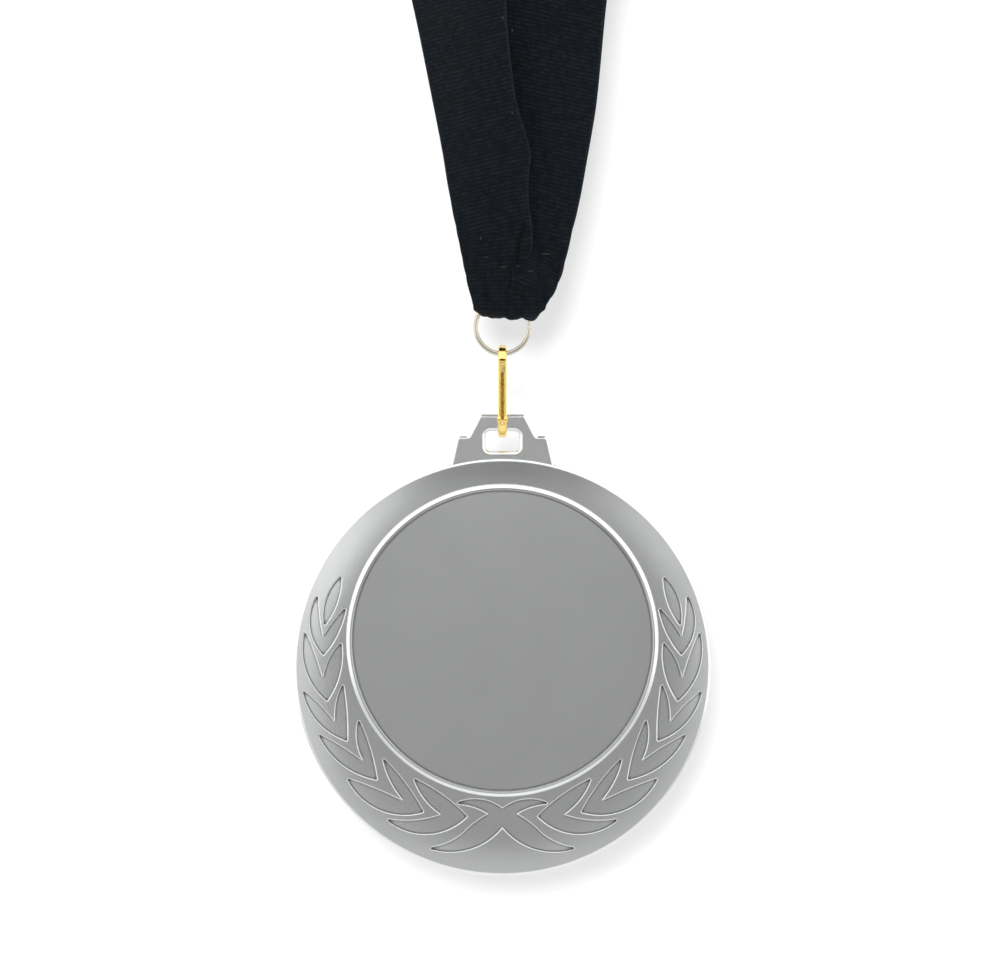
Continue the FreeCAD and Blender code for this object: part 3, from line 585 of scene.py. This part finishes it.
class RibbonSettings(bpy.types.PropertyGroup):
    """The ribbon's cloth and thread."""
    cloth: FloatVectorProperty(
        name="Cloth", description="Colour of the ribbon", subtype="COLOR", size=4,
        min=0.0, max=1.0, default=linear("#13181d"))
    thread: FloatVectorProperty(
        name="Thread", description="Colour of the sewing thread", subtype="COLOR", size=4,
        min=0.0, max=1.0, default=linear("#070808"))
    thickness: FloatProperty(
        name="Thickness", description="Thickness of the cloth", default=0.5 * MM, min=0.2 * MM,
        max=1.0 * MM, precision=5, unit="LENGTH", subtype="DISTANCE")
    rib: FloatProperty(
        name="Rib pitch", description="Distance from one rib to the next, in millimetres",
        default=0.68, min=0.3, max=3.0)
    columns: IntProperty(
        name="Columns", description="Faces across the width", default=36, min=8, max=80)


class StudioSettings(bpy.types.PropertyGroup):
    """The stage and its lights."""
    paper: FloatVectorProperty(
        name="Paper", description="Colour of the backdrop and floor", subtype="COLOR", size=4,
        min=0.0, max=1.0, default=linear("#f7f7f7"))
    room: FloatProperty(
        name="Room light", description="Brightness of the light from all round", default=0.86, min=0.0)
    card: FloatProperty(
        name="Grey card", description="Brightness of the card round the camera", default=0.31, min=0.0)
    lens: FloatProperty(
        name="Lens", description="Focal length", default=214.4, min=20.0, unit="CAMERA")


# ---- The stage, in metres -------------------------------------------------------------------------
CAMERA_PLACE = (-0.0004, -1.0, -0.4161)
SENSOR_MM = 36.0
NEAR_CLIP = 0.05
FLOOR = ((0, 0, -1.25), (0, 0, 0), 3.0)     # place, turn and half width
BACKDROP = ((0, 0.105, -0.12), (math.radians(90), 0, 0), 1.1)   # clear of the medal's swing
LIGHTS_AIM = (0, 0, -0.43)
# Name, place, width and height, watts, and whether the metal mirrors it.
LIGHTS = (
    ("shadow_key", (-0.03, -1.30, -0.35), (0.07, 0.07), 7.6, False),
    ("clip_kicker", (0, -1.02, -0.387), (0.03, 0.05), 0.008, True),
)
# Cards that the rim's slopes mirror: name, place, width and height, and brightness.
CARDS = (
    ("dark_card", (0, -1.29, -0.07), (0.40, 0.18), 0.0),
    ("left_card", (-0.31, -1.28, -0.27), (0.24, 0.30), 1.2),
    ("right_card", (0.29, -1.28, -0.24), (0.22, 0.22), 0.8),
    ("low_card", (0, -1.28, -0.92), (0.90, 0.34), 0.58),
    ("left_side_card", (-0.36, -1.28, -0.57), (0.14, 0.34), 0.85),
    ("right_side_card", (0.36, -1.28, -0.55), (0.14, 0.38), 0.62),
)
PANELS_GLOW = 1.5       # the white panels all round, which only polished surfaces see
BACKGROUND_GLOW = 0.95  # what the camera sees past the paper
WHITE = (1, 1, 1, 1)


# ---- Operators ------------------------------------------------------------------------------------
class MEDAL_OT_stage(bpy.types.Operator):
    """Sets the camera, the pale floor and backdrop, and the soft studio lights"""
    bl_idname = "medal.stage"
    bl_label = "Stage"

    def execute(self, context):
        settings = context.scene.medal_studio
        scene = context.scene
        camera = bpy.data.objects.new("camera", bpy.data.cameras.new("camera"))
        camera.location = CAMERA_PLACE
        camera.rotation_euler = (math.radians(90), 0, 0)
        camera.data.lens = settings.lens
        camera.data.sensor_width = SENSOR_MM
        camera.data.clip_start = NEAR_CLIP
        scene.collection.objects.link(camera)
        scene.camera = camera
        scene.view_settings.view_transform = "Standard"
        self.paper("floor", *FLOOR, settings)
        self.paper("backdrop", *BACKDROP, settings)
        # What the medal's flat face mirrors: a grey card round the camera.
        self.card("grey_card", (0, -1.30, -0.48), (1.06, 1.10), settings.card)
        for card in CARDS:
            self.card(*card)
        for light in LIGHTS:
            self.light(*light)
        self.world(scene, settings.room)
        return {"FINISHED"}

    def paper(self, name, place, turn, half, settings):
        """A sheet of pale paper that is clear from behind, so the object can be seen from there."""
        bpy.ops.object.select_all(action="DESELECT")
        bpy.ops.mesh.primitive_plane_add(size=2 * half, location=place, rotation=turn)
        sheet = bpy.context.object
        sheet.name = name
        material, tree = new_material(name + "_paper")
        front = add_node(tree, "ShaderNodeBsdfDiffuse", None, {"Color": settings.paper})
        behind = add_node(tree, "ShaderNodeNewGeometry").outputs["Backfacing"]
        clear = add_node(tree, "ShaderNodeBsdfTransparent")
        mixed = add_node(tree, "ShaderNodeMixShader", None, {0: behind, 1: front, 2: clear})
        add_node(tree, "ShaderNodeOutputMaterial", None, {"Surface": mixed})
        sheet.data.materials.append(material)

    def card(self, name, place, size, glow):
        """An evenly lit card that only polished surfaces see."""
        bpy.ops.object.select_all(action="DESELECT")
        bpy.ops.mesh.primitive_plane_add(size=1, location=place, rotation=(math.radians(90), 0, 0))
        card = bpy.context.object
        card.name = name
        card.scale = (size[0], size[1], 1)
        material, tree = new_material(name)
        shader = add_node(tree, "ShaderNodeEmission", None, {"Color": WHITE, "Strength": glow})
        add_node(tree, "ShaderNodeOutputMaterial", None, {"Surface": shader})
        card.data.materials.append(material)
        card.visible_camera = False
        card.visible_diffuse = False
        card.visible_shadow = False

    def light(self, name, place, size, power, mirrored):
        """An area light that faces the medal."""
        lamp = bpy.data.lights.new(name, "AREA")
        lamp.shape = "RECTANGLE"
        lamp.size, lamp.size_y = size
        lamp.energy = power
        holder = bpy.data.objects.new(name, lamp)
        holder.location = place
        aim = Vector(LIGHTS_AIM) - holder.location
        holder.rotation_euler = aim.to_track_quat("-Z", "Y").to_euler()
        holder.visible_camera = False
        holder.visible_glossy = mirrored
        bpy.context.scene.collection.objects.link(holder)

    def world(self, scene, room):
        """Even light from all round, which polished surfaces see as brighter white panels."""
        world = bpy.data.worlds.new("studio")
        world.use_nodes = True
        tree = world.node_tree
        tree.nodes.clear()
        ray = add_node(tree, "ShaderNodeLightPath")
        mirrored = add_node(tree, "ShaderNodeMath", TIMES_PLUS, {
            0: ray.outputs["Is Glossy Ray"], 1: PANELS_GLOW - room, 2: room})
        lit = add_node(tree, "ShaderNodeBackground", None, {"Color": WHITE, "Strength": mirrored})
        pale = add_node(tree, "ShaderNodeBackground", None, {"Color": WHITE, "Strength": BACKGROUND_GLOW})
        mixed = add_node(tree, "ShaderNodeMixShader", None, {
            0: ray.outputs["Is Camera Ray"], 1: lit, 2: pale})
        add_node(tree, "ShaderNodeOutputWorld", None, {"Surface": mixed})
        scene.world = world


class MEDAL_OT_metal(bpy.types.Operator):
    """Finishes the medal, the clip and the ring in their plated metals"""
    bl_idname = "medal.metal"
    bl_label = "Metal finishes"

    def execute(self, context):
        colours = context.scene.medal_finish
        dress("medal_body", satin_nickel(tuple(colours.nickel)))
        gilt = plated("gilt_plate", tuple(colours.gilt), rough_low=0.10, rough_high=0.19, wear_mm=1.6)
        for node_name in ("clip_body", "clip_gate", "gate_rivet"):
            dress(node_name, gilt)
        dress("gate_spring", plated(
            "spring_brass", tuple(colours.spring), rough_low=0.24, rough_high=0.34, wear_mm=1.2))
        dress("ribbon_ring", plated(
            "bright_nickel_plate", tuple(colours.ring), rough_low=0.07, rough_high=0.14, wear_mm=1.8))
        return {"FINISHED"}


class MEDAL_OT_ribbon(bpy.types.Operator):
    """Weaves the neck ribbon as one band of cloth, gathered through the ring"""
    bl_idname = "medal.ribbon"
    bl_label = "Neck ribbon"

    def execute(self, context):
        settings = context.scene.medal_ribbon
        band = woven_sheet("ribbon_cloth", settings.columns, settings.thickness)
        band.data.materials.append(grosgrain(tuple(settings.cloth), settings.rib))
        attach(band, "ribbon")
        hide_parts("neck_ribbon")
        return {"FINISHED"}


class MEDAL_OT_stitching(bpy.types.Operator):
    """Sews the row of tack stitches through the gathered cloth"""
    bl_idname = "medal.stitching"
    bl_label = "Tack stitches"

    def execute(self, context):
        settings = context.scene.medal_ribbon
        loops = []
        for number, (x, up) in enumerate(DIMPLES):
            loops.append(self.stitch(x, up, 8 - 7 * (number % 3)))
        bpy.ops.object.select_all(action="DESELECT")
        for loop in loops:
            loop.select_set(True)
        bpy.context.view_layer.objects.active = loops[0]
        bpy.ops.object.join()
        thread = bpy.context.object
        thread.name = "tack_stitches"
        thread.data.materials.append(spun_thread(tuple(settings.thread)))
        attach(thread, "ribbon")
        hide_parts("hem_stitching")
        return {"FINISHED"}

    def stitch(self, x, up, slant):
        """A flat loop of thread that goes in, behind and out again; slant is in degrees."""
        bpy.ops.object.select_all(action="DESELECT")
        bpy.ops.mesh.primitive_torus_add(
            major_radius=0.55 * MM, minor_radius=0.16 * MM, major_segments=40, minor_segments=10)
        loop = bpy.context.object
        front = cloth_front(x, up)
        middle = Vector((x, (front + STITCH_BACK) / 2, FOLD_Z + up)) * MM
        reach = ((STITCH_BACK - front) / 2 - 0.40) * MM
        stretch = 0.2 * MM
        tilt = math.tan(math.radians(slant))
        for vertex in loop.data.vertices:
            place = vertex.co.copy()
            place.y += reach if place.y > 0 else -reach
            place.x += stretch if place.x > 0 else -stretch
            place.z += place.x * tilt
            vertex.co = place + middle
        bpy.ops.object.shade_smooth()
        return loop


class MEDAL_PT_panel(bpy.types.Panel):
    """Shows the medal's settings and the buttons that build its pieces"""
    bl_idname = "MEDAL_PT_panel"
    bl_label = "Prize medal"
    bl_space_type = "VIEW_3D"
    bl_region_type = "UI"
    bl_category = "Medal"

    def draw(self, context):
        layout = self.layout
        for group in ("medal_finish", "medal_ribbon", "medal_studio"):
            settings = getattr(context.scene, group)
            box = layout.box()
            for name in settings.bl_rna.properties.keys():
                if name not in ("rna_type", "name"):
                    box.prop(settings, name)
        for operator in OPERATORS:
            layout.operator(operator.bl_idname)


GROUPS = {"medal_finish": MedalFinish, "medal_ribbon": RibbonSettings, "medal_studio": StudioSettings}
OPERATORS = (MEDAL_OT_stage, MEDAL_OT_metal, MEDAL_OT_ribbon, MEDAL_OT_stitching)


def register():
    for group in GROUPS.values():
        bpy.utils.register_class(group)
    for name, group in GROUPS.items():
        setattr(bpy.types.Scene, name, PointerProperty(type=group))
    for operator in OPERATORS:
        bpy.utils.register_class(operator)
    bpy.utils.register_class(MEDAL_PT_panel)


def unregister():
    bpy.utils.unregister_class(MEDAL_PT_panel)
    for operator in reversed(OPERATORS):
        bpy.utils.unregister_class(operator)
    for name, group in GROUPS.items():
        delattr(bpy.types.Scene, name)
        bpy.utils.unregister_class(group)


def main():
    """Builds everything."""
    register()
    bpy.ops.medal.stage()
    bpy.ops.medal.metal()
    bpy.ops.medal.ribbon()
    bpy.ops.medal.stitching()


if __name__ == "__main__":
    main()
